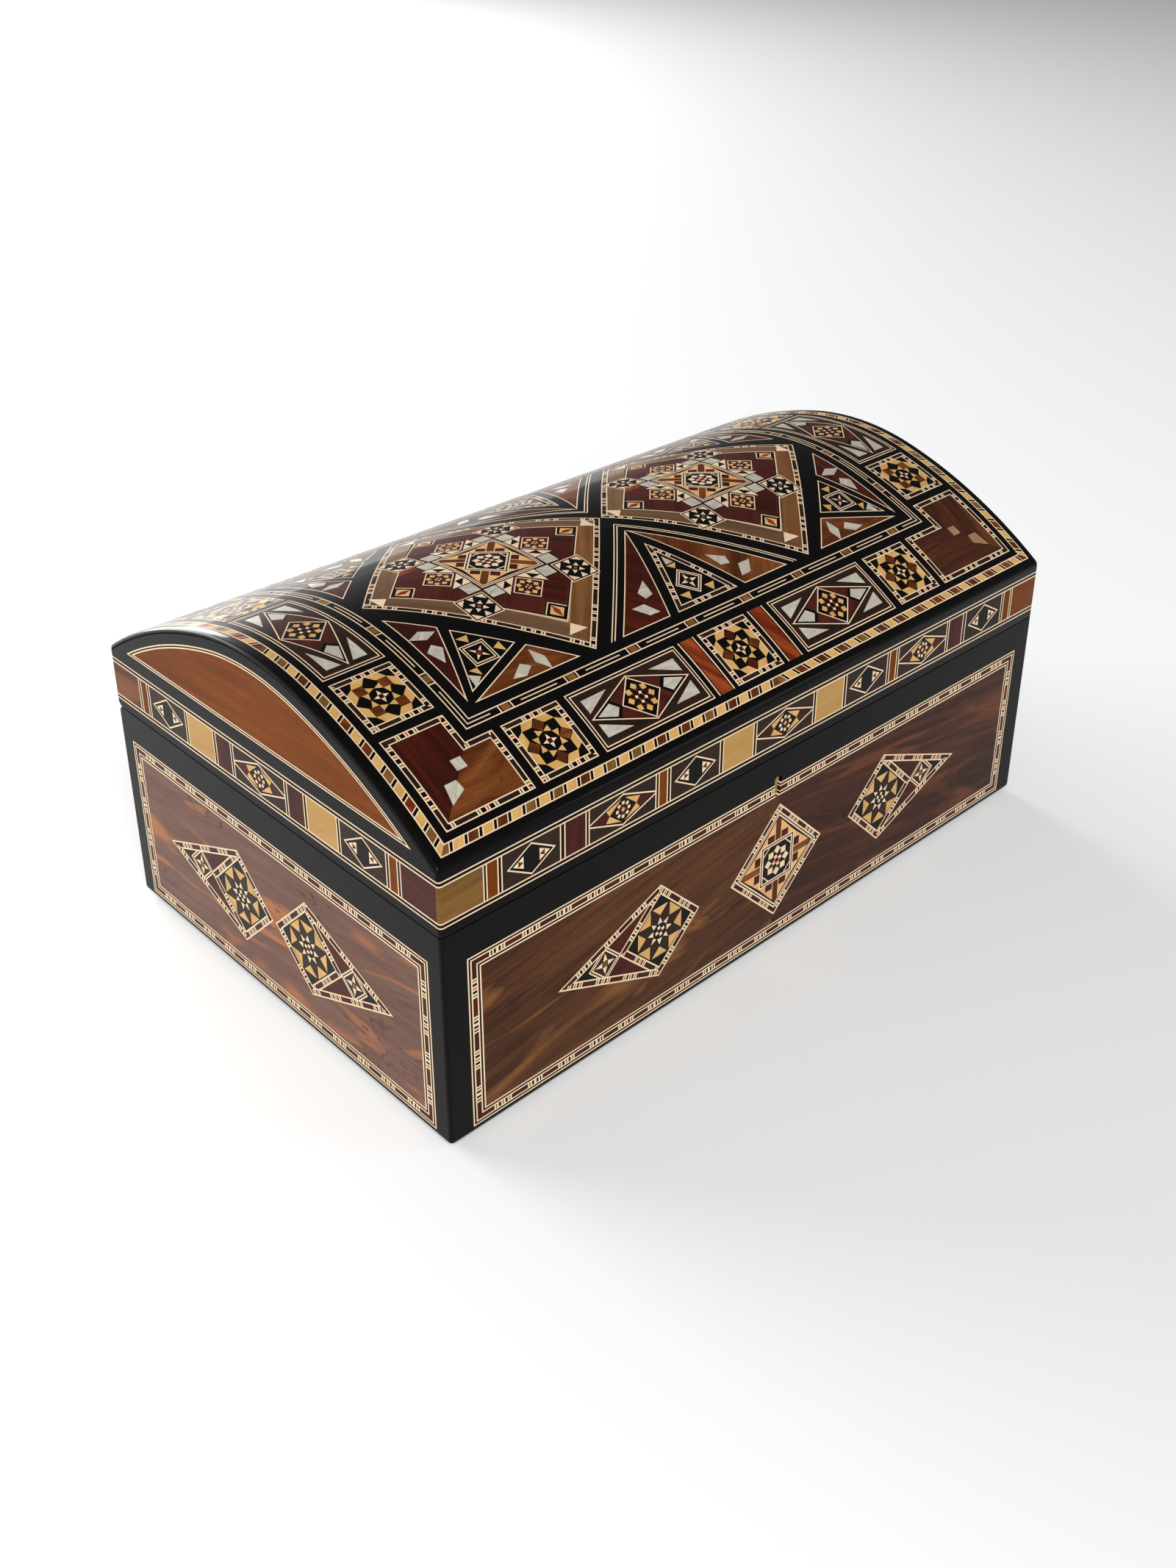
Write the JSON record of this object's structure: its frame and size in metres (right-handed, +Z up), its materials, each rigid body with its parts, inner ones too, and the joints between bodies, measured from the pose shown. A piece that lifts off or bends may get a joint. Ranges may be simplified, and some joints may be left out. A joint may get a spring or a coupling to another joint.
{
  "type": "inlaid jewelry box",
  "caption": "Veneered wooden jewelry box with a domed hinged lid, geometric wood and shell inlay, a velvet lining and a small box lock with a plain keyhole.",
  "frame": {"origin": "middle of the underside, on the surface that the box stands on", "axes": "+X along the long side, +Y towards the hinged back, +Z up; the keyhole faces -Y"},
  "size_m": [0.25, 0.154, 0.117],
  "materials": {
    "ebony": "near-black ebony veneer under clear gloss lacquer",
    "walnut": "book-matched walnut veneer under clear gloss lacquer",
    "rosewood": "figured rosewood veneer under clear gloss lacquer",
    "orangewood": "plain orange-brown veneer under clear gloss lacquer",
    "banding": "strips of bone-white, black and brown slips under clear gloss lacquer",
    "mosaic": "star and lozenge mosaic of wood, bone and shell under clear gloss lacquer",
    "carcass": "bare sawn and planed board",
    "velvet": "dark red velvet",
    "felt": "thin dark felt",
    "brass": "pressed brass, slightly dull",
    "steel": "plain steel"
  },
  "bodies": {
    "base": {"base_floor_board": "carcass", "underside_felt": "felt", "base_front_wall": "carcass", "base_back_wall": "carcass", "base_left_wall": "carcass", "base_right_wall": "carcass", "front_ebony_surround": "ebony", "front_banding": "banding", "front_field": "walnut", "front_left_kite": "mosaic", "front_centre_diamond": "mosaic", "front_right_kite": "mosaic", "back_ebony_surround": "ebony", "back_banding": "banding", "back_field": "walnut", "back_left_kite": "mosaic", "back_centre_diamond": "mosaic", "back_right_kite": "mosaic", "left_ebony_surround": "ebony", "left_banding": "banding", "left_field": "rosewood", "left_left_kite": "mosaic", "left_right_kite": "mosaic", "right_ebony_surround": "ebony", "right_banding": "banding", "right_field": "rosewood", "right_left_kite": "mosaic", "right_right_kite": "mosaic", "floor_pad": "velvet", "base_wall_lining": "velvet", "lock_case": "brass", "lock_back_plate": "brass", "lock_spring": "steel", "hinge_left_base_leaf": "brass", "hinge_right_base_leaf": "brass", "hinge_left_pin": "steel", "hinge_right_pin": "steel"},
    "lock_bolt": {"lock_bolt": "steel"},
    "lid": {"lid_front_rail": "carcass", "lid_back_rail": "carcass", "lid_left_end_board": "carcass", "lid_right_end_board": "carcass", "lid_dome_board": "carcass", "lid_dome_veneer": "ebony", "dome_edge_banding": "banding", "dome_inner_frame": "banding", "dome_left_star_square": "mosaic", "dome_right_star_square": "mosaic", "lid_front_veneer": "ebony", "lid_back_veneer": "ebony", "lid_left_veneer": "ebony", "lid_right_veneer": "ebony", "lid_left_tympanum": "orangewood", "lid_right_tympanum": "orangewood", "lid_dome_lining": "velvet", "lid_wall_lining": "velvet", "lock_strike_plate": "brass", "hinge_left_lid_leaf": "brass", "hinge_right_lid_leaf": "brass"}
  },
  "joints": [
    {"name": "lid_hinge", "type": "hinge", "parent": "base", "child": "lid", "pos_m": [0, 0.0752, 0.0687], "axis": [-1, 0, 0], "range_deg": [0, 98]},
    {"name": "bolt_slide", "type": "slide", "parent": "base", "child": "lock_bolt", "axis": [1, 0, 0], "range_m": [0, 0.004]}
  ]
}
